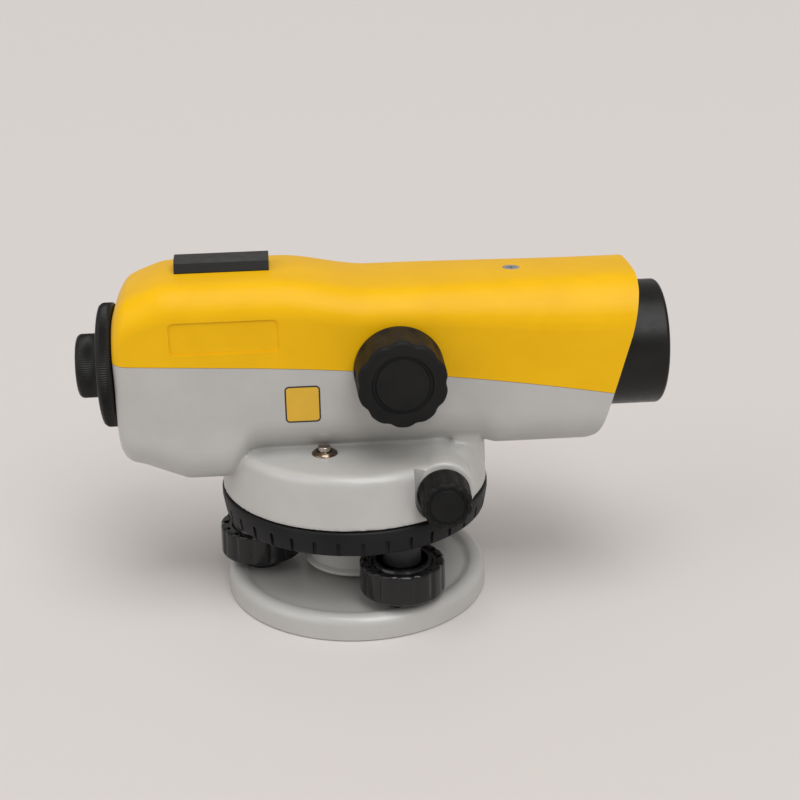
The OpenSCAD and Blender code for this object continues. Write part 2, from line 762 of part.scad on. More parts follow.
module focus_shaft() {
    color("silver") {
        rod_y(2, -body_r - 7, -side_in + 2.8, focus_x, focus_z);
        translate([focus_x, -side_in + 7.2, focus_z]) rotate([90, 0, 0]) linear_extrude(height = 4.4)
            gear_outline(pinion_teeth, pinion_r, pinion_module * 0.9, pinion_module * 1.2, 0.75);
    }
}

module focus_knob() {
    r = focus_knob_d / 2;
    color("#1c1c1c") translate([focus_x, -body_r - 1, focus_z]) rotate([90, 0, 0]) difference() {
        lobed_knob(r, r - 0.9, focus_knob_l, 10, 9, 0.9);
        translate([0, 0, -1]) cylinder(r = 2, h = 7);
        translate([0, 0, -1]) pipe(9, 2.6, 0, 1.8);
        translate([0, 0, focus_knob_l - 0.5]) pipe(r - 5.2, r - 6.2, 0, 1);
    }
}

// Rack points: trapezoid teeth whose gap is under the pinion at rest
module rack_teeth(x0, count) {
    pitch = PI * pinion_module;
    for (k = [0:count - 1]) translate([x0 + k * pitch, 0, 0])
        polygon([[-0.3 * pitch, -1.2 * pinion_module], [-0.13 * pitch, 0.8 * pinion_module],
            [0.13 * pitch, 0.8 * pinion_module], [0.3 * pitch, -1.2 * pinion_module]]);
}

module focus_carriage() {
    pitch = PI * pinion_module;
    rack_z = focus_z - pinion_r;
    teeth = 21;
    color("gray") difference() {
        union() {
            rod_x(bore_r - run_fit, focus_x - 11, focus_x + 11);
            translate([focus_x - teeth * pitch / 2, -side_in + 2.9, rack_z - 3.6])
                cube([teeth * pitch, side_in + 1.4 - bore_r, 3.6 - 1.1 * pinion_module]);
        }
        rod_x(bore_r - 4, focus_x - 12, focus_x + 12);
        translate([focus_x - 14, -side_in - 4, rack_z - 1.1 * pinion_module]) cube([28, 12, 12]);
    }
    color("gray") translate([focus_x, -side_in + 7.2, rack_z]) rotate([90, 0, 0])
        linear_extrude(height = 4.3) rack_teeth(-(teeth - 1) / 2 * pitch, teeth);
}

module focus_lens() {
    color("lightblue") lens(bore_r - 4, 2.4, 0.9, focus_x + 6);
}

module eyepiece_mount() {
    x_out = -rear_x - eyepiece_l - cover_ring_w;
    color("#303030") difference() {
        union() {
            rod_x(seat_r, -rear_x - cover_ring_w + 0.6, -rear_x + wall);
            rod_x(seat_r + 4, -rear_x + wall, -rear_x + wall + 2);
            rod_x(12, -rear_x + wall, -rear_x + 16);
            rod_x(mount_r, x_out + 1.4, -rear_x);
        }
        rod_x(cell_r + run_fit, x_out, -rear_x + 9);
        rod_x(10, -rear_x + 9, -rear_x + 20);
    }
}

module reticle() {
    color("silver") pipe_x(10, 6, -rear_x + 10, -rear_x + 14);
    color("lightblue") rod_x(6, -rear_x + 11.2, -rear_x + 12.8);
}

module reticle_cover() {
    color("#262626") difference() {
        translate([-rear_x - 0.2, 0, sight_z]) rotate([0, -90, 0]) rotate_extrude($fn = 96)
            polygon(concat([[seat_r, 0], [cover_ring_d / 2 - 0.5, 0], [cover_ring_d / 2, 0.5]],
                arc([cover_ring_d / 2 - 1.8, cover_ring_w - 1.8], 1.8, 0, 90, 4),
                [[mount_r + 0.6, cover_ring_w], [mount_r + 0.6, cover_ring_w - 0.7],
                 [seat_r, cover_ring_w - 0.7]]));
    }
}

module eyepiece_ring() {
    color("#262626") translate([-rear_x - 0.2 - cover_ring_w - gap, 0, sight_z]) rotate([0, -90, 0])
        rotate_extrude() polygon(concat([[mount_r + run_fit, 0], [eyepiece_d / 2 - 0.5, 0],
            [eyepiece_d / 2, 0.5]], arc([eyepiece_d / 2 - 1.5, eyepiece_l - 1.5], 1.5, 0, 90, 4),
            [[cell_r + 0.3, eyepiece_l], [cell_r + 0.3, eyepiece_l - 0.8],
             [mount_r + run_fit, eyepiece_l - 0.8]]));
}

module eyepiece_cell() {
    x_out = -rear_x - cover_ring_w - eyepiece_l + 2.6;
    color("#303030") pipe_x(cell_r, cell_r - 1.4, x_out, -rear_x + 4);
    color("lightblue") for (x = [x_out + 1, -rear_x]) rod_x(cell_r - 1.4, x, x + 3);
}

// ---------- compensator ----------

module compensator_frame() {
    top = hinge_z + 6;
    color("gray") difference() {
        union() {
            for (s = [-1, 1]) translate([comp_x - 14, s > 0 ? comp_in : -comp_out, floor_z])
                cube([28, comp_out - comp_in, top - floor_z]);
            translate([comp_x - 14, -comp_out, hinge_z + 3]) cube([28, 2 * comp_out, 3]);
            translate([comp_x - 9, -4, top - 1]) cube([6, 8, 1.5]);
            translate([comp_x - 12, 0, top - 3]) cylinder(r = 4, h = crown_rear - wall - 0.3 - top + 3);
            translate([comp_x - 5, -comp_out, floor_z + 9.6]) cube([10, 2 * comp_out, 1.6]);
            for (s = [-1, 1]) translate([comp_x - 4, s > 0 ? 1.2 : -5.2, floor_z + 11]) cube([8, 4, 6]);
        }
        for (s = [-1, 1]) rod_y(1 + 0.08, min(0, s * 20), max(0, s * 20), comp_x, hinge_z);
        translate([comp_x - 9, -20, sight_z - 9]) cube([18, 40, 18]);
        for (x = [-10, 10]) rod_y(2, -20, 20, comp_x + x, floor_z + 5);
        translate([comp_x - 12, 0, crown_rear - 8.2]) cylinder(r = 1.25, h = 20);
    }
}

module fixed_prisms() {
    color("lightcyan") for (s = [-1, 1]) translate([comp_x + s * 12, 0, sight_z - 6])
        rotate([90, 0, 0]) linear_extrude(height = 2 * comp_in, center = true)
            polygon([[-s * 1.5, 0], [s * 1.5, 0], [s * 1.5, 12], [-s * 1.5, 9]]);
}

module pendulum() {
    color("silver") {
        rod_y(1, -comp_out, comp_out, comp_x, hinge_z);
        for (s = [-1, 1]) translate([comp_x - 1.5, s * 9 - 0.75, sight_z + 5])
            cube([3, 1.5, hinge_z - sight_z - 5.5]);
        translate([comp_x - 5, -9.75, sight_z + 5]) cube([10, 19.5, 1.5]);
        translate([comp_x - 5, -9.75, sight_z - 7]) cube([10, 19.5, 1.5]);
        for (s = [-1, 1]) translate([comp_x - 5, s * 9 - 0.75, sight_z - 6]) cube([10, 1.5, 12]);
    }
    color("lightcyan") translate([comp_x - 4, -8.25, sight_z - 5.5]) cube([8, 16.5, 10.5]);
    color("peru") translate([comp_x - 3, -0.5, floor_z + 12.2]) cube([6, 1, sight_z - 7 - floor_z - 12.1]);
}

// ---------- laser, level and fittings ----------

module laser_module() {
    color("goldenrod") rod_x(4, comp_x - 12, comp_x + 12, 0, floor_z + 4.1);
    color("green") translate([comp_x + 12, -4.8, floor_z]) cube([37, 9.6, 1.6]);
}

module battery() {
    color("steelblue") rod_x(7, -80, -49, 0, floor_z + 4.4);
    color("silver") rod_x(2.6, -49, -47.6, 0, floor_z + 4.4);
}

module button_bezel() {
    color("silver") translate([button_x, button_y, 0]) difference() {
        union() {
            translate([0, 0, deck_z]) cylinder(r = 3.4, h = ledge_z - deck_z);
            translate([0, 0, ledge_z]) cylinder(r1 = 4.8, r2 = 3.3, h = 0.9);
            translate([0, 0, ledge_z + 0.9]) cylinder(r = 3.3, h = 0.3);
        }
        translate([0, 0, deck_z - 1]) cylinder(r = button_d / 2 + run_fit, h = 8);
    }
}

module laser_button() {
    color("silver") translate([button_x, button_y, deck_z - 1.8]) rotate_extrude()
        polygon(concat([[0, 0]], [[button_d / 2, 0]],
            arc([button_d / 2 - 0.5, 1.3 + 2.8 + button_travel + 1.5], 0.5, 0, 90, 3),
            [[0, 1.8 + 2.8 + button_travel + 1.5]]));
}

module button_switch() {
    color("black") translate([button_x, button_y, 0]) difference() {
        translate([0, 0, deck_z - 4]) cylinder(r = 4.2, h = 4);
        translate([0, 0, deck_z - 3]) cylinder(r = button_d / 2 + 0.2, h = 6);
    }
}

module vial_housing() {
    r = vial_d / 2;
    color("#202020") difference() {
        union() {
            translate([vial_x, vial_y, ledge_z]) cylinder(r = r, h = 6);
            for (s = [-1, 1]) translate([mirror_x - 1.6, vial_y + s * 5.5 - 1, ledge_z])
                cube([3.2, 2, mirror_z + 1.6 - ledge_z]);
            translate([vial_x + r - 2, vial_y - 6.5, ledge_z]) cube([mirror_x - vial_x - r + 3.6, 13, 2]);
        }
        translate([vial_x, vial_y, ledge_z + 1]) cylinder(r = r - 2, h = 20);
        rod_y(0.8 + 0.05, 0, 60, mirror_x, mirror_z);
    }
}

module vial_glass() {
    color("palegreen") translate([vial_x, vial_y, ledge_z + 1]) cylinder(r = vial_d / 2 - 2, h = 5.4);
}

module vial_mirror() {
    color("silver") translate([mirror_x, vial_y, mirror_z]) {
        rod_y(0.8, -6.5, 6.5);
        rotate([0, 45, 0]) translate([-15, -4.1, -0.7]) cube([15.3, 8.2, 1.4]);
        rotate([0, 45, 0]) translate([-15, -7, -0.7]) cube([12, 14, 1.4]);
    }
}

base_plate();
tripod_bush();
spring_plate();
spring_plate_screws();
foot_caps();
foot_cup_a();
foot_cups_bc();
tribrach();
foot_sleeves();
foot_nuts();
spindle_bush();
foot_ball_a();
foot_screw_a();
foot_knob_a();
foot_ball_b();
foot_screw_b();
foot_knob_b();
foot_ball_c();
foot_screw_c();
foot_knob_c();
circle_ring();
worm_wheel();
clutch_spring();
housing_lower();
cover_upper();
cover_screws();
spindle();
spindle_screws();
spindle_nut();
dust_plate();
worm_bushes();
worm_shaft();
tangent_knob_near();
tangent_knob_far();
telescope_tube();
objective_barrel();
objective_lens();
objective_retainer();
focus_bush();
focus_shaft();
focus_knob();
focus_carriage();
focus_lens();
eyepiece_mount();
reticle();
reticle_cover();
eyepiece_ring();
eyepiece_cell();
compensator_frame();
fixed_prisms();
pendulum();
laser_module();
battery();
button_bezel();
laser_button();
button_switch();
vial_housing();
vial_glass();
vial_mirror();
peep_sight();
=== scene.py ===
"""The looks of an automatic level: castings, knobs, rings and fittings, with their finishes."""
import json
import bmesh
import bpy
from math import atan2, cos, hypot, pi, radians, sin, sqrt
from mathutils import Matrix, Vector


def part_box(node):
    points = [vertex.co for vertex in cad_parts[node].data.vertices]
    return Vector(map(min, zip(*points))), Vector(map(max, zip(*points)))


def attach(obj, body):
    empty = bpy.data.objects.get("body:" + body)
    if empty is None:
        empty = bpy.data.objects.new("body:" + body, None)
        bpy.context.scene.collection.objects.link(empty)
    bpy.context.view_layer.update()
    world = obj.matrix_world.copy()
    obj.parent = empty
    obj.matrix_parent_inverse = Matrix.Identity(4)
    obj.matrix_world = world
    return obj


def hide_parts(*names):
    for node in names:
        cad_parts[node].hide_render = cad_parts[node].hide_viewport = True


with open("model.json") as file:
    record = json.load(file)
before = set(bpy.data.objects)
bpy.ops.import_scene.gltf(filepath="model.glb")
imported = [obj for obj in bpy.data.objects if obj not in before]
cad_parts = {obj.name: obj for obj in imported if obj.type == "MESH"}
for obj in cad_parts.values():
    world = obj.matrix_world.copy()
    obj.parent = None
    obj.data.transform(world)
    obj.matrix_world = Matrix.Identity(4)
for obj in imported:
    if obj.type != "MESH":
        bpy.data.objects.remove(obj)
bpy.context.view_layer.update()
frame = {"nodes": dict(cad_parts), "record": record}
MM = 0.001
TURNS = {"z": Matrix.Identity(3), "x": Matrix.Rotation(pi / 2, 3, "Y"), "-x": Matrix.Rotation(-pi / 2, 3, "Y"),
         "y": Matrix.Rotation(-pi / 2, 3, "X"), "-y": Matrix.Rotation(pi / 2, 3, "X")}


def mm_box(node):
    """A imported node's box in millimetres."""
    low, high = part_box(node)
    return low / MM, high / MM


# ---------- sizes in millimetres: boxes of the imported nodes, then what the boxes do not show ----------
base_high = mm_box("base_plate")[1]
ring_low, ring_high = mm_box("circle_ring")
cover_low, cover_high = mm_box("cover_upper")
barrel_low, barrel_high = mm_box("objective_barrel")
focus_low, focus_high = mm_box("focus_knob")
near_low, near_high = mm_box("tangent_knob_near")
far_low = mm_box("tangent_knob_far")[0]
bezel_low, bezel_high = mm_box("button_bezel")
button_low, button_high = mm_box("laser_button")
cover_ring_low, cover_ring_high = mm_box("reticle_cover")
eyepiece_low, eyepiece_high = mm_box("eyepiece_ring")

base_r = base_high.x
base_top = base_high.z
sight_z = (barrel_low.z + barrel_high.z) / 2
drum_z = mm_box("housing_lower")[0].z
drum_h = 19.6
ledge_z = drum_z + drum_h
drum_r = 50.35
ledge_r = 47.0
drum_edge = 0.02              # the drum's lower rim is cut this far above its own end
body_r = cover_high.y
rear_x = cover_low.x
front_x = 102.0
wall = 2.4
roof_h = 28.7                 # from the line of sight to the low part of the roof
hump_h = 4.6                  # how far the roof rises towards the rear
hump_x, hump_run = -26, 34    # where that rise ends, and over what length it runs
crown = 2.2                   # how far the roof bulges at its middle
shoulder_r = 10.0
keel_r = 14.0
belly_z = ledge_z - 11.3
belly_x, belly_run = -46, 10  # where the belly starts to rise to the ledge, and over what length
rear_slope = 0.42             # both roof and belly slope this much towards the rear
front_drop = 2.6              # how far the chin hangs below the ledge
chin_x, chin_run = 44, 8      # where the chin starts to drop, and over what length
seam_x = -40.0                # the seam runs straight to here, then curves down
seam_h = 5.4
worm_x = (near_low.x + near_high.x) / 2
worm_z = (near_low.z + near_high.z) / 2
focus_x = (focus_low.x + focus_high.x) / 2
focus_z = (focus_low.z + focus_high.z) / 2
pocket_y = abs(near_high.y) - 0.6  # the flat floor of a knob pocket
pocket_reach = 10.6
dish_z = base_top - 1.9
foot_circle = 37.0
foot_angles = (-66.0, -186.0, 54.0)


# ---------- working in mesh ----------
def soften(bm, corners, reach, segments=6):
    """Rounds flat corners of an outline."""
    bmesh.ops.bevel(bm, geom=corners, offset=reach, offset_type="OFFSET", segments=segments,
                    profile=0.5, affect="VERTICES", material=-1, clamp_overlap=True)


def spaced(a, b, parts):
    """Evenly spaced points from a to b, both included."""
    return [tuple(p + (q - p) * k / parts for p, q in zip(a, b)) for k in range(parts + 1)]


def fresh(bm, start):
    """What was added since the start: corners, edges, faces."""
    verts = [v for v in bm.verts if v not in start]
    return verts, list({e for v in verts for e in v.link_edges}), list({f for v in verts for f in v.link_faces})


def turned(bm, outline, rounds=(), steps=96, centre=(0, 0, 0), along="z"):
    """Turns an outline of (radius, height) corners a full turn about an axis.
    rounds holds (corner, reach, segments)."""
    start = set(bm.verts)
    corners = [bm.verts.new((r, 0, h)) for r, h in outline]
    bm.faces.new(corners)
    for corner, reach, segments in rounds:
        soften(bm, [corners[corner]], reach, segments)
    edges, faces = fresh(bm, start)[1:]
    bmesh.ops.delete(bm, geom=faces, context="FACES_ONLY")
    on_axis = [e for e in edges if all(abs(v.co.x) < 1e-5 for v in e.verts)]
    bmesh.ops.delete(bm, geom=on_axis, context="EDGES")
    loose, edges = fresh(bm, start)[:2]
    bmesh.ops.spin(bm, geom=loose + edges, cent=(0, 0, 0), axis=(0, 0, 1), dvec=(0, 0, 0),
                   angle=2 * pi, steps=steps, use_merge=True, use_normal_flip=False, use_duplicate=False)
    bmesh.ops.remove_doubles(bm, verts=fresh(bm, start)[0], dist=1e-4)
    made = fresh(bm, start)[0]
    bmesh.ops.rotate(bm, verts=made, cent=(0, 0, 0), matrix=TURNS[along])
    bmesh.ops.translate(bm, verts=made, vec=centre)
    bmesh.ops.recalc_face_normals(bm, faces=list({f for v in made for f in v.link_faces}))
    return made


def prism(bm, outline, depth, rounds=(), centre=(0, 0, 0)):
    """A flat outline of (x, z) corners standing in the plane y = 0, thickened to both sides."""
    start = set(bm.verts)
    corners = [bm.verts.new((x, -depth / 2, z)) for x, z in outline]
    bm.faces.new(corners)
    for corner, reach, segments in rounds:
        soften(bm, [corners[corner]], reach, segments)
    pulled = bmesh.ops.extrude_face_region(bm, geom=fresh(bm, start)[2])
    moved = [g for g in pulled["geom"] if isinstance(g, bmesh.types.BMVert)]
    bmesh.ops.translate(bm, verts=moved, vec=(0, depth, 0))
    made = fresh(bm, start)[0]
    bmesh.ops.translate(bm, verts=made, vec=centre)
    bmesh.ops.recalc_face_normals(bm, faces=bm.faces[:])
    return made


def brick(bm, low, high):
    """A block between two opposite corners."""
    made = bmesh.ops.create_cube(bm, size=1)["verts"]
    bmesh.ops.scale(bm, verts=made, vec=[b - a for a, b in zip(low, high)])
    bmesh.ops.translate(bm, verts=made, vec=[(a + b) / 2 for a, b in zip(low, high)])
    return made


def whole(bm):
    return bm.verts[:] + bm.edges[:] + bm.faces[:]


def relaxed(bm, verts, rounds=1):
    """Smooths corners towards their neighbours."""
    for _ in range(rounds):
        bmesh.ops.smooth_vert(bm, verts=verts, factor=0.5, use_axis_x=True, use_axis_y=True, use_axis_z=True)


def placed(name, bm, sharp=32):
    """A mesh object in metres from a mesh worked in millimetres."""
    bmesh.ops.scale(bm, verts=bm.verts[:], vec=(MM, MM, MM))
    mesh = bpy.data.meshes.new(name)
    bm.to_mesh(mesh)
    bm.free()
    piece = bpy.data.objects.new(name, mesh)
    bpy.context.scene.collection.objects.link(piece)
    smooth(piece, sharp)
    return piece


def smooth(piece, sharp=32):
    """Smooth shading, with edges steeper than the angle left crisp."""
    piece.data.shade_smooth()
    piece.data.set_sharp_from_angle(angle=radians(sharp))


def settle(piece):
    """Applies the modifiers."""
    graph = bpy.context.evaluated_depsgraph_get()
    mesh = bpy.data.meshes.new_from_object(piece.evaluated_get(graph))
    piece.modifiers.clear()
    piece.data = mesh


def cut(piece, tool, how="DIFFERENCE"):
    """Takes the tool's shape out of the piece, or keeps what both share, and drops the tool."""
    change = piece.modifiers.new("cut", "BOOLEAN")
    change.operation, change.solver, change.object = how, "EXACT", tool
    settle(piece)
    bpy.data.objects.remove(tool)


def eased(piece, width=0.25, segments=2, angle=40):
    """A small rounding along every sharp edge."""
    change = piece.modifiers.new("eased", "BEVEL")
    change.width, change.segments, change.limit_method = width * MM, segments, "ANGLE"
    change.angle_limit, change.harden_normals = radians(angle), False
    settle(piece)


def finished(piece, node, body, material):
    """Gives a new piece its finish and its body, and hides the node that it stands for."""
    piece.data.materials.clear()
    piece.data.materials.append(material)
    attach(piece, body)
    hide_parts(node)
    return piece


def ease(t):
    """From 0 to 1, gently at both ends."""
    t = min(1.0, max(0.0, t))
    return t * t * (3 - 2 * t)


# ---------- finishes ----------
def nodes_of(name):
    """A new material with its nodes."""
    material = bpy.data.materials.new(name)
    material.use_nodes = True
    tree = material.node_tree
    return material, tree, tree.nodes["Principled BSDF"]


def grain(tree, scale, detail):
    """A noise on the piece's own coordinates."""
    where = tree.nodes.new("ShaderNodeTexCoord")
    noise = tree.nodes.new("ShaderNodeTexNoise")
    noise.inputs["Scale"].default_value = scale
    noise.inputs["Detail"].default_value = detail
    noise.inputs["Roughness"].default_value = 0.55
    tree.links.new(where.outputs["Object"], noise.inputs["Vector"])
    return noise


def tinted(tree, shader, source, dark, light):
    """Colour that drifts between two tones."""
    ramp = tree.nodes.new("ShaderNodeValToRGB")
    ramp.color_ramp.elements[0].position, ramp.color_ramp.elements[0].color = 0.35, (*dark, 1)
    ramp.color_ramp.elements[1].position, ramp.color_ramp.elements[1].color = 0.65, (*light, 1)
    tree.links.new(source.outputs["Fac"], ramp.inputs["Fac"])
    tree.links.new(ramp.outputs["Color"], shader.inputs["Base Color"])


def roughened(tree, shader, source, low, high):
    """Roughness that drifts between two values."""
    spread = tree.nodes.new("ShaderNodeMapRange")
    spread.inputs["From Min"].default_value, spread.inputs["From Max"].default_value = 0.3, 0.7
    spread.inputs["To Min"].default_value, spread.inputs["To Max"].default_value = low, high
    tree.links.new(source.outputs["Fac"], spread.inputs["Value"])
    tree.links.new(spread.outputs["Result"], shader.inputs["Roughness"])


def raised(tree, shader, source, strength, height):
    """A fine bump, its height in millimetres."""
    bump = tree.nodes.new("ShaderNodeBump")
    bump.inputs["Strength"].default_value = strength
    bump.inputs["Distance"].default_value = height * MM
    tree.links.new(source.outputs["Fac"], bump.inputs["Height"])
    tree.links.new(bump.outputs["Normal"], shader.inputs["Normal"])


def finish(name, dark, light, rough, metal=0.0, tone_scale=60, bump=(900, 0.15, 0.02), coat=0.0,
           coat_rough=0.1, specular=0.5, glass=0.0, index=1.5):
    """A finish: two tones, a roughness range, and a bump of (scale, strength, height)."""
    material, tree, shader = nodes_of(name)
    tinted(tree, shader, grain(tree, tone_scale, 4), dark, light)
    roughened(tree, shader, grain(tree, tone_scale * 5, 3), *rough)
    raised(tree, shader, grain(tree, bump[0], 2), bump[1], bump[2])
    shader.inputs["Metallic"].default_value = metal
    shader.inputs["Specular IOR Level"].default_value = specular
    shader.inputs["Coat Weight"].default_value = coat
    shader.inputs["Coat Roughness"].default_value = coat_rough
    shader.inputs["Transmission Weight"].default_value = glass
    shader.inputs["IOR"].default_value = index
    material.diffuse_color = (*light, 1)
    return material


paint_yellow = finish("yellow_paint", (0.79, 0.435, 0.0015), (0.83, 0.465, 0.0025), (0.36, 0.44),
                      bump=(1400, 0.10, 0.012), coat=0.03, coat_rough=0.25, specular=0.15)
paint_grey = finish("grey_paint", (0.43, 0.425, 0.41), (0.462, 0.457, 0.443), (0.34, 0.42),
                    bump=(1400, 0.10, 0.012), coat=0.30, coat_rough=0.14)
knob_rubber = finish("knob_rubber", (0.0075, 0.0075, 0.0075), (0.0125, 0.0122, 0.012), (0.48, 0.60),
                     bump=(2600, 0.30, 0.02), specular=0.14)
gloss_black = finish("gloss_moulding", (0.004, 0.004, 0.0042), (0.007, 0.007, 0.0075), (0.12, 0.2),
                     bump=(1200, 0.08, 0.01), specular=0.4)
ring_black = finish("ring_moulding", (0.008, 0.008, 0.0088), (0.0125, 0.0125, 0.0135), (0.42, 0.52),
                    bump=(2200, 0.22, 0.015), specular=0.16)
anodised = finish("black_anodised", (0.007, 0.0068, 0.0066), (0.011, 0.0108, 0.0104), (0.30, 0.40), metal=0.2,
                  bump=(1800, 0.12, 0.01), specular=0.3)
sleeve_black = finish("sleeve_moulding", (0.010, 0.010, 0.0105), (0.017, 0.017, 0.018), (0.35, 0.46),
                      bump=(2200, 0.2, 0.012))
steel = finish("turned_steel", (0.50, 0.49, 0.47), (0.62, 0.61, 0.59), (0.22, 0.34), metal=1.0, tone_scale=240,
               bump=(1500, 0.10, 0.01))
zinc = finish("zinc_plate", (0.42, 0.42, 0.41), (0.55, 0.55, 0.53), (0.32, 0.46), metal=1.0, tone_scale=300)
chrome = finish("chrome_plate", (0.40, 0.35, 0.30), (0.56, 0.50, 0.45), (0.12, 0.22), metal=1.0, tone_scale=200,
                bump=(1200, 0.06, 0.01))
brass = finish("turned_brass", (0.60, 0.42, 0.16), (0.72, 0.53, 0.24), (0.24, 0.36), metal=1.0, tone_scale=240)
bronze = finish("sintered_bronze", (0.36, 0.21, 0.09), (0.48, 0.30, 0.14), (0.42, 0.55), metal=1.0, tone_scale=400,
                bump=(3000, 0.3, 0.03))
alloy = finish("machined_alloy", (0.60, 0.60, 0.61), (0.70, 0.70, 0.71), (0.28, 0.40), metal=1.0, tone_scale=260)
lens_glass = finish("coated_glass", (0.62, 0.72, 0.78), (0.70, 0.78, 0.84), (0.01, 0.03), glass=1.0, coat=0.4,
                    coat_rough=0.02, bump=(200, 0.01, 0.001))
prism_glass = finish("prism_glass", (0.85, 0.90, 0.88), (0.90, 0.95, 0.93), (0.02, 0.04), glass=1.0,
                     bump=(200, 0.01, 0.001))
vial_fluid = finish("vial_fluid", (0.50, 0.80, 0.12), (0.60, 0.88, 0.22), (0.02, 0.05), glass=0.85, coat=0.5,
                    coat_rough=0.03, bump=(200, 0.01, 0.001), index=1.4)
mirror_face = finish("mirror_face", (0.83, 0.84, 0.86), (0.88, 0.89, 0.91), (0.02, 0.05), metal=1.0,
                     bump=(200, 0.01, 0.001))
cell_wrap = finish("cell_wrap", (0.03, 0.10, 0.30), (0.05, 0.14, 0.40), (0.25, 0.35))
board_green = finish("board_green", (0.010, 0.10, 0.035), (0.018, 0.14, 0.05), (0.30, 0.45))
collar_plate = finish("collar_plate", (0.20, 0.15, 0.11), (0.30, 0.24, 0.18), (0.14, 0.24), metal=1.0,
                      tone_scale=200, bump=(1200, 0.06, 0.01))
screw_plate = finish("screw_plate", (0.66, 0.65, 0.62), (0.78, 0.77, 0.74), (0.14, 0.26), metal=1.0,
                     tone_scale=240)
label_yellow = finish("label_yellow", (0.66, 0.38, 0.02), (0.72, 0.42, 0.03), (0.30, 0.38),
                      bump=(1400, 0.05, 0.005))
label_ink = finish("label_ink", (0.010, 0.009, 0.008), (0.016, 0.020, 0.018), (0.35, 0.45),
                   bump=(1400, 0.05, 0.005))

finishes = {"yellow_paint": paint_yellow, "grey_paint": paint_grey, "black_knob": knob_rubber,
            "black_gloss": gloss_black, "black_anodised": anodised, "circle_black": ring_black,
            "sleeve_black": sleeve_black, "steel": steel, "chrome": chrome, "brass": brass, "bronze": bronze,
            "aluminium": alloy, "zinc": zinc, "lens_glass": lens_glass, "prism_glass": prism_glass,
            "vial_fluid": vial_fluid, "mirror_face": mirror_face, "cell_wrap": cell_wrap,
            "board_green": board_green}
for part in frame["record"]["subparts"]:
    mesh = frame["nodes"][part["node"]].data
    mesh.materials.clear()
    mesh.materials.append(finishes[part["material_slot"]])


# ---------- housing ----------
def rear_round(x, reach, drop):
    """How far an outline turns in over its last stretch before the rear face."""
    u = min(1.0, max(0.0, (rear_x + reach - x) / reach))
    return drop * (1 - sqrt(1 - u * u))


def hump(x):
    """The rise of the roof from the low front part to the rear part."""
    return hump_h * (1 - ease((x - hump_x) / hump_run))


def rear_drop(x):
    """How far the roof falls towards the rear: a slope, then a rounded corner."""
    slope_reach, slope_blend = 20, 4
    run = max(0.0, rear_x + slope_reach - x)
    return rear_slope * run * run / (run + slope_blend) + rear_round(x, reach=7, drop=11)


def top_at(x, inset):
    return sight_z + roof_h + hump(x) - rear_drop(x) - inset


def belly_at(x, inset):
    """The underside: deep behind the drum, at ledge height above it, a little lower in front."""
    slope_reach, slope_run = 24, 17
    lift = ease((x - belly_x) / belly_run)
    slope = rear_slope * min(slope_run, max(0.0, slope_reach - x + rear_x))
    rear = belly_z + slope + rear_round(x, reach=7, drop=6)
    front = ledge_z - front_drop * ease((x - chin_x) / chin_run)
    return rear * (1 - lift) + front * lift + inset


def half_at(x, inset):
    """Half the width."""
    return body_r - rear_round(x, reach=6, drop=6) - inset


def section(bm, x, inset, fine):
    """One rounded frame across the line of sight, crowned on top, its shoulders rounder towards the front."""
    half, top, low = half_at(x, inset), top_at(x, inset), belly_at(x, inset)
    front_gain = 5 * ease((x - 10) / 80)
    r_top, r_low = shoulder_r + front_gain - 0.6 * inset, keel_r - inset
    start = set(bm.verts)
    flat = spaced((half, top), (-half, top), fine + 4)
    corners = [bm.verts.new((x, y, z)) for y, z in [(-half, low), (half, low)] + flat]
    flat_in = [v for v in corners[3:-1] if abs(v.co.y) > half - r_top - 0.3]
    bm.faces.new([v for v in corners if v not in flat_in])
    bmesh.ops.delete(bm, geom=flat_in, context="VERTS")
    soften(bm, corners[:2], r_low, fine)
    soften(bm, [corners[2], corners[-1]], r_top, fine)
    verts, edges, faces = fresh(bm, start)
    for v in verts:
        if v.co.z > top - r_top:
            v.co.z += crown * (1 - (v.co.y / half) ** 2) * (v.co.z - top + r_top) / r_top
    bmesh.ops.delete(bm, geom=faces, context="FACES_ONLY")
    return edges


def casting(inset, fine, step):
    """The housing as one closed skin over its sections, which stand closer together near the rear face."""
    bm = bmesh.new()
    places = [rear_x + inset + d for d in (0, 0.35, 0.8, 1.4, 2.2, 3.2, 4.4, 5.6)]
    x = places[-1] + step
    while x < front_x + 6:
        places.append(x)
        x += step
    rings = [section(bm, x, inset, fine) for x in places]
    for a, b in zip(rings, rings[1:]):
        bmesh.ops.bridge_loops(bm, edges=a + b)
    for ring in (rings[0], rings[-1]):
        bmesh.ops.edgeloop_fill(bm, edges=ring)
    bmesh.ops.recalc_face_normals(bm, faces=bm.faces[:])
    return bm


# the slanted front from chin to brow, each corner counted from front_x
front_line = [(-22, ledge_z - 5), (-18.6, ledge_z - 2.2), (-16, ledge_z - 0.2), (-14, ledge_z + 1.6),
              (-12.7, ledge_z + 3.8), (-11.7, ledge_z + 6.6), (-10.6, ledge_z + 10.4), (-9.0, ledge_z + 16),
              (-6.2, ledge_z + 26.5), (-2.5, sight_z + 11), (-0.8, sight_z + 20), (0.3, sight_z + 26),
              (0.9, sight_z + 33), (0.5, sight_z + 38)]


def trim_front(bm, inset):
    """Cuts the slanted front of the hood, one facet after another."""
    for (xa, za), (xb, zb) in zip(front_line, front_line[1:]):
        made = bmesh.ops.bisect_plane(bm, geom=whole(bm), dist=1e-5, plane_co=(front_x + xa - inset, 0, za),
                                      plane_no=(zb - za, 0, xa - xb), clear_outer=True, clear_inner=False)
        rim = [g for g in made["geom_cut"] if isinstance(g, bmesh.types.BMEdge)]
        bmesh.ops.edgeloop_fill(bm, edges=rim)
    bmesh.ops.recalc_face_normals(bm, faces=bm.faces[:])


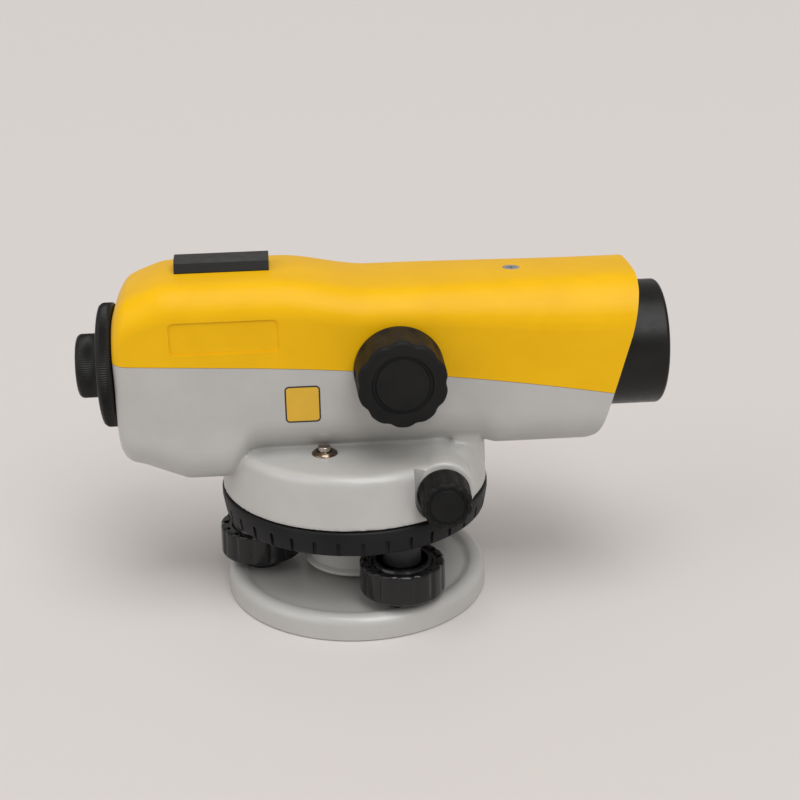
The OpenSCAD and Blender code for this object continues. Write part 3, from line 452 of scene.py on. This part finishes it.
def seam_at(x):
    """The height of the seam between cover and housing."""
    run = x - seam_x
    return sight_z + seam_h - 0.055 * run - (0.00049 * run ** 2 if run > 0 else 0)


def side_block(above, gap):
    """Everything above or below the seam between cover and housing, wider than both."""
    width, bm = 130, bmesh.new()
    line = [(x, seam_at(x) + gap) for x in range(int(rear_x) - 10, int(front_x) + 12, 4)]
    far = sight_z + 70 if above else drum_z - 20
    prism(bm, line + [(line[-1][0], far), (line[0][0], far)], width)
    return bm


def hollow():
    """The space inside the housing."""
    bm = casting(wall, 4, 6)
    trim_front(bm, 3)
    return placed("hollow", bm)


def optical_bore():
    """The round openings for barrel and eyepiece, and the focusing shaft's hole."""
    bm = bmesh.new()
    front_r, rear_r, shaft_r = barrel_high.z - sight_z + 0.2, 16, 6.3
    turned(bm, [(0, 60), (front_r, 60), (front_r, 130), (0, 130)], centre=(0, 0, sight_z), along="x", steps=128)
    turned(bm, [(0, rear_x - 4), (rear_r, rear_x - 4), (rear_r, rear_x + 6), (0, rear_x + 6)],
           centre=(0, 0, sight_z), along="x")
    turned(bm, [(0, -body_r - 3), (shaft_r, -body_r - 3), (shaft_r, -body_r + 6), (0, -body_r + 6)],
           centre=(focus_x, 0, focus_z), along="y", steps=48)
    return placed("optical_bore", bm)


def drum_column():
    """The part of the drum's front wall that runs up into the housing, as a loose mesh."""
    rear, half = 36, 21
    bm = bmesh.new()
    turned(bm, [(0, ledge_z - 14), (50, ledge_z - 14), (49.2, ledge_z + 7), (0, ledge_z + 7)], steps=96)
    for side, outward in (((rear, 0, 0), (-1, 0, 0)), ((0, half, 0), (0, 1, 0)), ((0, -half, 0), (0, -1, 0))):
        bmesh.ops.bisect_plane(bm, geom=whole(bm), dist=1e-5, plane_co=side, plane_no=outward, clear_outer=True)
        bmesh.ops.holes_fill(bm, edges=[e for e in bm.edges if e.is_boundary], sides=0)
    bmesh.ops.recalc_face_normals(bm, faces=bm.faces[:])
    column = bpy.data.meshes.new("column")
    bm.to_mesh(column)
    bm.free()
    return column


def blank_casting():
    """Housing, drum and knob bosses grown together, with soft inner corners."""
    boss_r, boss_y = 11.4, 41
    voxel, cove_rounds = ((0.75, 24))
    bm = casting(0, 8, 3)
    turned(bm, [(0, drum_z), (drum_r, drum_z), (ledge_r + 0.6, ledge_z), (0, ledge_z)], rounds=[(2, 3.2, 8)],
           steps=160)
    turned(bm, [(0, -boss_y), (boss_r, -boss_y), (boss_r, boss_y), (0, boss_y)],
           rounds=[(1, 1.2, 4), (2, 1.2, 4)], steps=72, centre=(worm_x, 0, worm_z), along="y")
    column = drum_column()
    bm.from_mesh(column)
    bpy.data.meshes.remove(column)
    blank = placed("blank", bm)
    change = blank.modifiers.new("grown", "REMESH")
    change.mode, change.voxel_size, change.adaptivity = "VOXEL", voxel * MM, 0
    settle(blank)
    bm = bmesh.new()
    bm.from_mesh(blank.data)
    bpy.data.objects.remove(blank)
    bmesh.ops.scale(bm, verts=bm.verts[:], vec=(1 / MM, 1 / MM, 1 / MM))
    relaxed(bm, bm.verts[:], 2)
    cove = [v for v in bm.verts if abs(v.co.z - ledge_z) < 6.5 and hypot(v.co.x, v.co.y) < ledge_r - 4
            and abs(v.co.y) < 27 and (abs(v.co.y) > 8 or abs(v.co.x) > 36)]
    relaxed(bm, cove, cove_rounds)
    trim_front(bm, 0)
    return bm


def knob_pocket():
    """The flat recess behind a tangent knob, on both sides."""
    bm = bmesh.new()
    rear, front, low, high = worm_x - pocket_reach, worm_x + 30, worm_z - pocket_reach, worm_z + 10.8
    for side in (-1, 1):
        prism(bm, [(rear, low), (front, low), (front, high), (rear, high)], 30,
              rounds=[(0, 10.4, 14), (3, 1.5, 4)], centre=(0, side * (pocket_y + 15), 0))
    return placed("knob_pocket", bm)


def drum_space():
    """The room inside the drum, with a flat wall left behind each knob pocket."""
    bm = bmesh.new()
    turned(bm, [(0, drum_z - 2), (drum_r - 3, drum_z - 2), (ledge_r - 3.2, ledge_z - 2.8), (0, ledge_z - 2.8)],
           steps=96)
    space = placed("drum_space", bm)
    walls = bmesh.new()
    for side in (-1, 1):
        ends = sorted((side * (pocket_y - wall), side * (pocket_y - wall + 20)))
        brick(walls, (worm_x - 11 - wall, ends[0], drum_z - 3), (worm_x + 30, ends[1], ledge_z))
    cut(space, placed("walls", walls))
    return space


def lower_casting(blank):
    """The grey housing with its drum, below the seam."""
    bm = blank.copy()
    bmesh.ops.bisect_plane(bm, geom=whole(bm), dist=1e-5, plane_co=(0, 0, drum_z + drum_edge), plane_no=(0, 0, -1),
                           clear_outer=True)
    bmesh.ops.holes_fill(bm, edges=[e for e in bm.edges if e.is_boundary], sides=0)
    piece = placed("housing_casting", bm)
    cut(piece, placed("block", side_block(False, -0.08)), "INTERSECT")
    cut(piece, hollow())
    cut(piece, drum_space())
    cut(piece, knob_pocket())
    cut(piece, optical_bore())
    smooth(piece, 38)
    finished(piece, "housing_lower", "alidade", paint_grey)


def panel_recess():
    """A shallow blank panel with rounded corners on each side of the cover."""
    bm = bmesh.new()
    rear, front, low, high = -65, -26.5, sight_z + 11.2, sight_z + 23
    for side in (-1, 1):
        prism(bm, [(rear, low), (front, low), (front, high), (rear, high)], 2,
              rounds=[(k, 1.8, 5) for k in range(4)], centre=(0, side * (body_r + 0.5), 0))
    return placed("panel_recess", bm)


def cover(blank):
    """The yellow cover above the seam, with holes for its two screws."""
    piece = placed("cover_moulding", blank.copy())
    cut(piece, placed("block", side_block(True, 0.08)), "INTERSECT")
    cut(piece, hollow())
    cut(piece, optical_bore())
    cut(piece, panel_recess())
    stem_r, head_r = 1.6, 3.4
    screws = bmesh.new()
    for x, top in ((59.5, sight_z + 30.9), (-40, sight_z + 35.5)):
        turned(screws, [(0, top - 6), (stem_r, top - 6), (stem_r, top - 1.7), (head_r, top + 0.1),
                        (head_r, top + 3), (0, top + 3)], centre=(x, 0, 0), steps=40)
    cut(piece, placed("screw_holes", screws))
    smooth(piece, 38)
    finished(piece, "cover_upper", "alidade", paint_yellow)


blank = blank_casting()
lower_casting(blank)
cover(blank)
blank.free()


# ---------- knobs and rings ----------
def pressed(verts, count, depth, low, high, keep, soft, sharpness=1.0):
    """Presses grooves round a turned piece standing on its axis, fading out at both ends.
    What lies within the radius keep stays round."""
    for v in verts:
        r = hypot(v.co.x, v.co.y)
        if r > keep:
            turn = atan2(v.co.y, v.co.x) * count / 2
            fade = ease((v.co.z - low) / soft) * ease((high - v.co.z) / soft)
            k = 1 - depth * fade * (cos(turn) ** 2) ** sharpness / r
            v.co.x, v.co.y = v.co.x * k, v.co.y * k


def aimed(verts, along, centre):
    """Turns a piece from the upright to its own axis and sets it in place."""
    for v in verts:
        v.co = TURNS[along] @ v.co + Vector(centre)


def grip_knob(name, radius, top_r, length, lobes, depth, along, centre, face):
    """A knob with grip lobes round it. face holds the outline across its end face."""
    bm = bmesh.new()
    side = spaced((radius - 0.1, 0), (top_r, length), 6)
    outline = [(0, 0)] + side + face + [(0, face[-1][1])]
    verts = turned(bm, outline, rounds=[(1, 0.9, 3), (len(side), 1.5, 6)], steps=lobes * 16)
    pressed(verts, lobes, depth, low=1.0, high=length + 3, keep=radius * 0.72, soft=1.6, sharpness=2.2)
    aimed(verts, along, centre)
    bmesh.ops.recalc_face_normals(bm, faces=bm.faces[:])
    return placed(name, bm, 28)


def focus_knob():
    """The big knob on the near side, with a shallow ring in its face."""
    r, length = (focus_high.x - focus_low.x) / 2, focus_high.y - focus_low.y
    face = [(r - 5.4, length), (r - 5.8, length - 0.8), (r - 6.7, length - 0.8), (r - 7.1, length - 0.15),
            (2, length - 0.15)]
    piece = grip_knob("focusing_knob", r, r - 0.4, length, 10, 0.8, "-y", (focus_x, focus_high.y, focus_z), face)
    finished(piece, "focus_knob", "focus_drive", knob_rubber)


def tangent_knobs():
    """The two slow-motion knobs, one at each end of the worm."""
    r, length = (near_high.x - near_low.x) / 2, near_high.y - near_low.y
    face = [(r - 2.2, length), (r - 2.6, length - 0.6), (r - 3.4, length - 0.6), (r - 3.8, length - 0.1),
            (2, length - 0.1)]
    for name, node, along, y in (("tangent_knob_right", "tangent_knob_near", "-y", near_high.y),
                                 ("tangent_knob_left", "tangent_knob_far", "y", far_low.y)):
        piece = grip_knob(name, r, r - 0.6, length, 12, 0.55, along, (worm_x, y, worm_z), face)
        finished(piece, node, "tangent_drive", knob_rubber)


def copies_round(bm, count, centre):
    """Repeats what is in the mesh in a full circle."""
    bmesh.ops.spin(bm, geom=whole(bm), cent=centre, axis=(0, 0, 1), dvec=(0, 0, 0),
                   angle=2 * pi * (count - 1) / count, steps=count - 1, use_merge=False, use_duplicate=True)
    bmesh.ops.recalc_face_normals(bm, faces=bm.faces[:])


foot_flutes = 14


def rim_notches(centre, r, top):
    """Short notches in a foot knob's upper rim, one at each flute."""
    bm = bmesh.new()
    brick(bm, (centre[0] + r - 3.4, centre[1] - 1.1, top - 0.8), (centre[0] + r - 1.5, centre[1] + 1.1, top + 2))
    copies_round(bm, foot_flutes, centre)
    return placed("rim_notches", bm)


def foot_knobs():
    """The three fluted foot screw knobs, each with a sunk ring and a well in its top."""
    r = 15.9
    for letter in "abc":
        low, high = mm_box("foot_knob_" + letter)
        length, centre = high.z - low.z, ((low.x + high.x) / 2, (low.y + high.y) / 2, low.z)
        side = spaced((r, 0), (r - 0.15, length), 6)
        face = [(13.2, length), (12.6, length - 0.9), (11.5, length - 0.9), (11.0, length), (9.6, length),
                (9.2, length - 1), (9.2, length - 4.9)]
        bm = bmesh.new()
        verts = turned(bm, [(3, 0)] + side + face + [(3, length - 4.9)],
                       rounds=[(1, 1.2, 4), (len(side), 1.1, 5)], steps=foot_flutes * 14)
        pressed(verts, foot_flutes, 0.55, low=0.6, high=length + 3, keep=13.4, soft=1.4, sharpness=5.0)
        aimed(verts, "z", centre)
        piece = placed("foot_knob_moulding_" + letter, bm, 28)
        cut(piece, rim_notches(centre, r, high.z))
        smooth(piece, 28)
        finished(piece, "foot_knob_" + letter, "screw_" + letter, gloss_black)


def circle():
    """The circle ring with its finger slits, open at the lower edge."""
    r, low, high = ring_high.x, ring_low.z, ring_high.z
    bm = bmesh.new()
    inner, step_z = 45.56, low + 4.55
    turned(bm, [(inner, low), (r - 2, low), (r - 1.0, low + 0.7), (r, high - 3), (r, high), (r - 3, high),
                (r - 3, low + 6.6), (39.5, low + 6.6), (39.5, step_z), (inner, step_z)],
           rounds=[(4, 0.9, 5), (1, 0.5, 2), (2, 0.5, 2)], steps=288)
    ring = placed("notched_circle", bm, 30)
    half, slit_top, slit_count = 0.75, low + 6.0, 36
    slits = bmesh.new()
    prism(slits, [(-half, low - 2), (half, low - 2), (half, slit_top), (-half, slit_top)], 4,
          rounds=[(2, half - 0.01, 4), (3, half - 0.01, 4)], centre=(0, -r - 0.4, 0))
    copies_round(slits, slit_count, (0, 0, 0))
    cut(ring, placed("slits", slits))
    eased(ring, 0.14, 2, 50)
    smooth(ring, 30)
    finished(ring, "circle_ring", "circle", ring_black)


def knurled(name, outline, count, depth, low, high, keep, centre):
    """A ring facing the rear, with fine straight grooves round its rim."""
    bm = bmesh.new()
    verts = turned(bm, outline, steps=count * 4)
    pressed(verts, count, depth, low, high, keep, soft=0.35)
    aimed(verts, "-x", centre)
    bmesh.ops.recalc_face_normals(bm, faces=bm.faces[:])
    return placed(name, bm, 50)


def telescope_fittings():
    """The objective's hood, the cover ring over the reticle screws and the eyepiece's grip."""
    front, r = barrel_high.x, barrel_high.z - sight_z
    mouth_r, tube_r, rear, step = r - 2.6, 19.5, 84, 92
    bm = bmesh.new()
    turned(bm, [(tube_r, rear), (r, rear), (r, front), (r - 1.9, front), (mouth_r, front - 1.4),
                (mouth_r, front - 12), (mouth_r - 2, front - 12), (mouth_r - 2, step), (tube_r, step)],
           rounds=[(2, 1.5, 8), (3, 0.4, 3)], steps=144, centre=(0, 0, sight_z), along="x")
    finished(placed("objective_hood", bm, 30), "objective_barrel", "alidade", anodised)
    width, r = cover_ring_high.x - cover_ring_low.x, cover_ring_high.z - sight_z
    rim = [(r - 0.5, 0), (r, 0.6)] + spaced((r, 0.9), (r, width - 1.9), 2) + [(r - 0.2, width - 1.2),
                                                                              (r - 0.9, width - 0.35)]
    face = [(r - 2, width), (9.6, width), (9.6, width - 0.7), (16, width - 0.7)]
    piece = knurled("reticle_ring", [(16, 0)] + rim + face, 168, 0.30, 0.5, width - 1.0, r - 1.2,
                    (cover_ring_high.x, 0, sight_z))
    finished(piece, "reticle_cover", "alidade", anodised)
    width, r = eyepiece_high.x - eyepiece_low.x, eyepiece_high.z - sight_z
    rim = [(r - 0.5, 0), (r, 0.5)] + spaced((r, 0.8), (r, width - 1.8), 2) + [(r - 0.2, width - 1.0),
                                                                              (r - 0.8, width - 0.3)]
    face = [(r - 1.6, width), (7.9, width), (7.7, width - 0.8), (9.05, width - 0.8)]
    piece = knurled("eyepiece_grip", [(9.05, 0)] + rim + face, 88, 0.28, 0.6, width - 1.2, r - 1.0,
                    (eyepiece_high.x, 0, sight_z))
    finished(piece, "eyepiece_ring", "eyepiece", anodised)


def front_lens():
    """The objective's glass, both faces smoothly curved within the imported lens."""
    low, high = mm_box("objective_lens")
    r, sag, parts = high.z - sight_z, 1.5, 12
    rear_face = [(r * k / parts, low.x + sag * (k / parts) ** 2) for k in range(parts + 1)]
    front_face = [(r * k / parts, high.x - sag * (k / parts) ** 2) for k in range(parts, -1, -1)]
    bm = bmesh.new()
    turned(bm, rear_face + front_face, steps=96, centre=(0, 0, sight_z), along="x")
    finished(placed("objective_glass", bm, 30), "objective_lens", "alidade", lens_glass)


def base():
    """The base plate: a raised rim, a shallow dish, wells for the three feet and three small screw holes."""
    bm = bmesh.new()
    r, top = base_r, base_top
    turned(bm, [(11, 3), (r - 6, 3), (r - 6, 0), (r - 0.6, 0), (r, 0.6), (r, top), (r - 5.2, top),
                (r - 7.4, dish_z + 0.3), (r - 11, dish_z), (11, dish_z)],
           rounds=[(5, 3.4, 10), (6, 1.4, 5), (7, 1.6, 5)], steps=160)
    plate = placed("base_casting", bm, 34)
    well_r, screw_circle = 7.3, 30
    holes = bmesh.new()
    for angle in foot_angles:
        x, y = foot_circle * cos(radians(angle)), foot_circle * sin(radians(angle))
        turned(holes, [(0, -1), (6, -1), (6, dish_z + 0.2), (well_r, dish_z + 0.2), (well_r, top + 4),
                       (0, top + 4)], steps=48, centre=(x, y, 0))
        x, y = screw_circle * cos(radians(angle + 60)), screw_circle * sin(radians(angle + 60))
        turned(holes, [(0, 2), (1.25, 2), (1.25, 5.6), (0, 5.6)], steps=24, centre=(x, y, 0))
    cut(plate, placed("foot_holes", holes))
    smooth(plate, 34)
    finished(plate, "base_plate", "base", paint_grey)


def blank_label():
    """A plain yellow label with a thin dark border, nothing drawn on it."""
    (rear_end, front_end), (foot, head), sunk = (-25.3, -12.6), (77.4, 91.2), 0.3
    for name, inset, thick, material, slot in (("label_border", 0.0, 0.10, label_ink, "black_gloss"),
                                               ("label_face", 0.55, 0.16, label_yellow, "yellow_paint")):
        rear, front, low, high = rear_end + inset, front_end - inset, foot + inset, head - inset
        bm = bmesh.new()
        prism(bm, [(rear, low), (front, low), (front, high), (rear, high)], thick + sunk,
              rounds=[(k, 1.6 - inset, 6) for k in range(4)], centre=(0, -body_r + (sunk - thick) / 2, 0))
        piece = placed(name, bm, 30)
        piece.data.materials.append(material)
        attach(piece, "alidade")


cap_rise = 0.6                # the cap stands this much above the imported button


def laser_button():
    """The button and the flanged collar it stands in."""
    x, y = (button_low.x + button_high.x) / 2, (button_low.y + button_high.y) / 2
    r, low, high = (button_high.x - button_low.x) / 2, button_low.z, button_high.z + cap_rise
    bm = bmesh.new()
    turned(bm, [(0, low), (r, low), (r, high), (r - 0.55, high), (r - 0.8, high - 0.2), (0, high - 0.2)],
           rounds=[(2, 0.3, 4)], steps=48, centre=(x, y, 0))
    finished(placed("button_cap", bm, 28), "laser_button", "button", chrome)
    wide, low, high = (bezel_high.x - bezel_low.x) / 2, bezel_low.z, bezel_high.z
    bm = bmesh.new()
    turned(bm, [(r + 0.08, low), (3.4, low), (3.4, ledge_z), (wide, ledge_z), (wide, ledge_z + 0.35),
                (wide - 1.2, high), (r + 0.5, high), (r + 0.08, high - 0.4)],
           rounds=[(4, 0.25, 3), (5, 0.4, 3)], steps=56, centre=(x, y, 0))
    finished(placed("button_collar", bm, 28), "button_bezel", "alidade", collar_plate)


base()
foot_knobs()
circle()
tangent_knobs()
focus_knob()
telescope_fittings()
front_lens()
blank_label()
laser_button()
frame["nodes"]["cover_screws"].data.materials[0] = screw_plate

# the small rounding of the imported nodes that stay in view
for node, width in (("peep_sight", 0.35), ("tribrach", 0.3), ("vial_housing", 0.3), ("vial_mirror", 0.15),
                    ("cover_screws", 0.12), ("foot_sleeves", 0.2), ("foot_caps", 0.15)):
    change = frame["nodes"][node].modifiers.new("eased", "BEVEL")
    change.width, change.segments = width * MM, 2
    change.limit_method, change.angle_limit = "ANGLE", radians(35)


# ---------- light, floor and camera ----------
def studio():
    """A pale floor under three wide, soft lamps and an even room light."""
    scene = bpy.context.scene
    scene.view_settings.view_transform = "Standard"
    world = bpy.data.worlds.new("room")
    world.use_nodes = True
    world.node_tree.nodes["Background"].inputs["Color"].default_value = (0.86, 0.83, 0.81, 1)
    world.node_tree.nodes["Background"].inputs["Strength"].default_value = 0.47
    scene.world = world
    bm = bmesh.new()
    bmesh.ops.create_grid(bm, x_segments=4, y_segments=4, size=6000)
    floor = placed("floor", bm)
    plain, _, shader = nodes_of("pale_floor")
    shader.inputs["Base Color"].default_value = (0.65, 0.62, 0.60, 1)
    shader.inputs["Roughness"].default_value = 0.55
    floor.data.materials.append(plain)
    for name, place, spread, power in (("overhead", (0.1, -0.45, 1.6), 40, 1.25),
                                       ("window", (0.35, -1.0, 1.1), 32, 0.95),
                                       ("fill", (-1.3, -0.7, 0.9), 45, 0.55)):
        lamp = bpy.data.lights.new(name, "SUN")
        lamp.angle, lamp.energy = radians(spread), power
        holder = bpy.data.objects.new(name, lamp)
        holder.location = place
        holder.rotation_euler = Vector(place).to_track_quat("Z", "Y").to_euler()
        scene.collection.objects.link(holder)


def take_view():
    """The camera, which looks at the near side from a little above."""
    yaw, pitch, roll, reach = radians(2.703), radians(21.844), radians(-1.691), 0.56008
    ahead = Vector((sin(yaw) * cos(pitch), cos(yaw) * cos(pitch), -sin(pitch)))
    right = Vector((cos(yaw), -sin(yaw), 0))
    up = right.cross(ahead)
    right, up = right * cos(roll) + up * sin(roll), up * cos(roll) - right * sin(roll)
    lens = bpy.data.cameras.new("camera")
    lens.lens, lens.sensor_width, lens.shift_x, lens.shift_y = 66.72, 36, 0.0592, 0.0155
    lens.clip_start, lens.clip_end = 0.01, 100
    camera = bpy.data.objects.new("camera", lens)
    camera.matrix_world = Matrix.Translation(Vector((0, 0, 0.07)) - ahead * reach) @ \
        Matrix((right, up, -ahead)).transposed().to_4x4()
    bpy.context.scene.collection.objects.link(camera)
    bpy.context.scene.camera = camera


studio()
take_view()
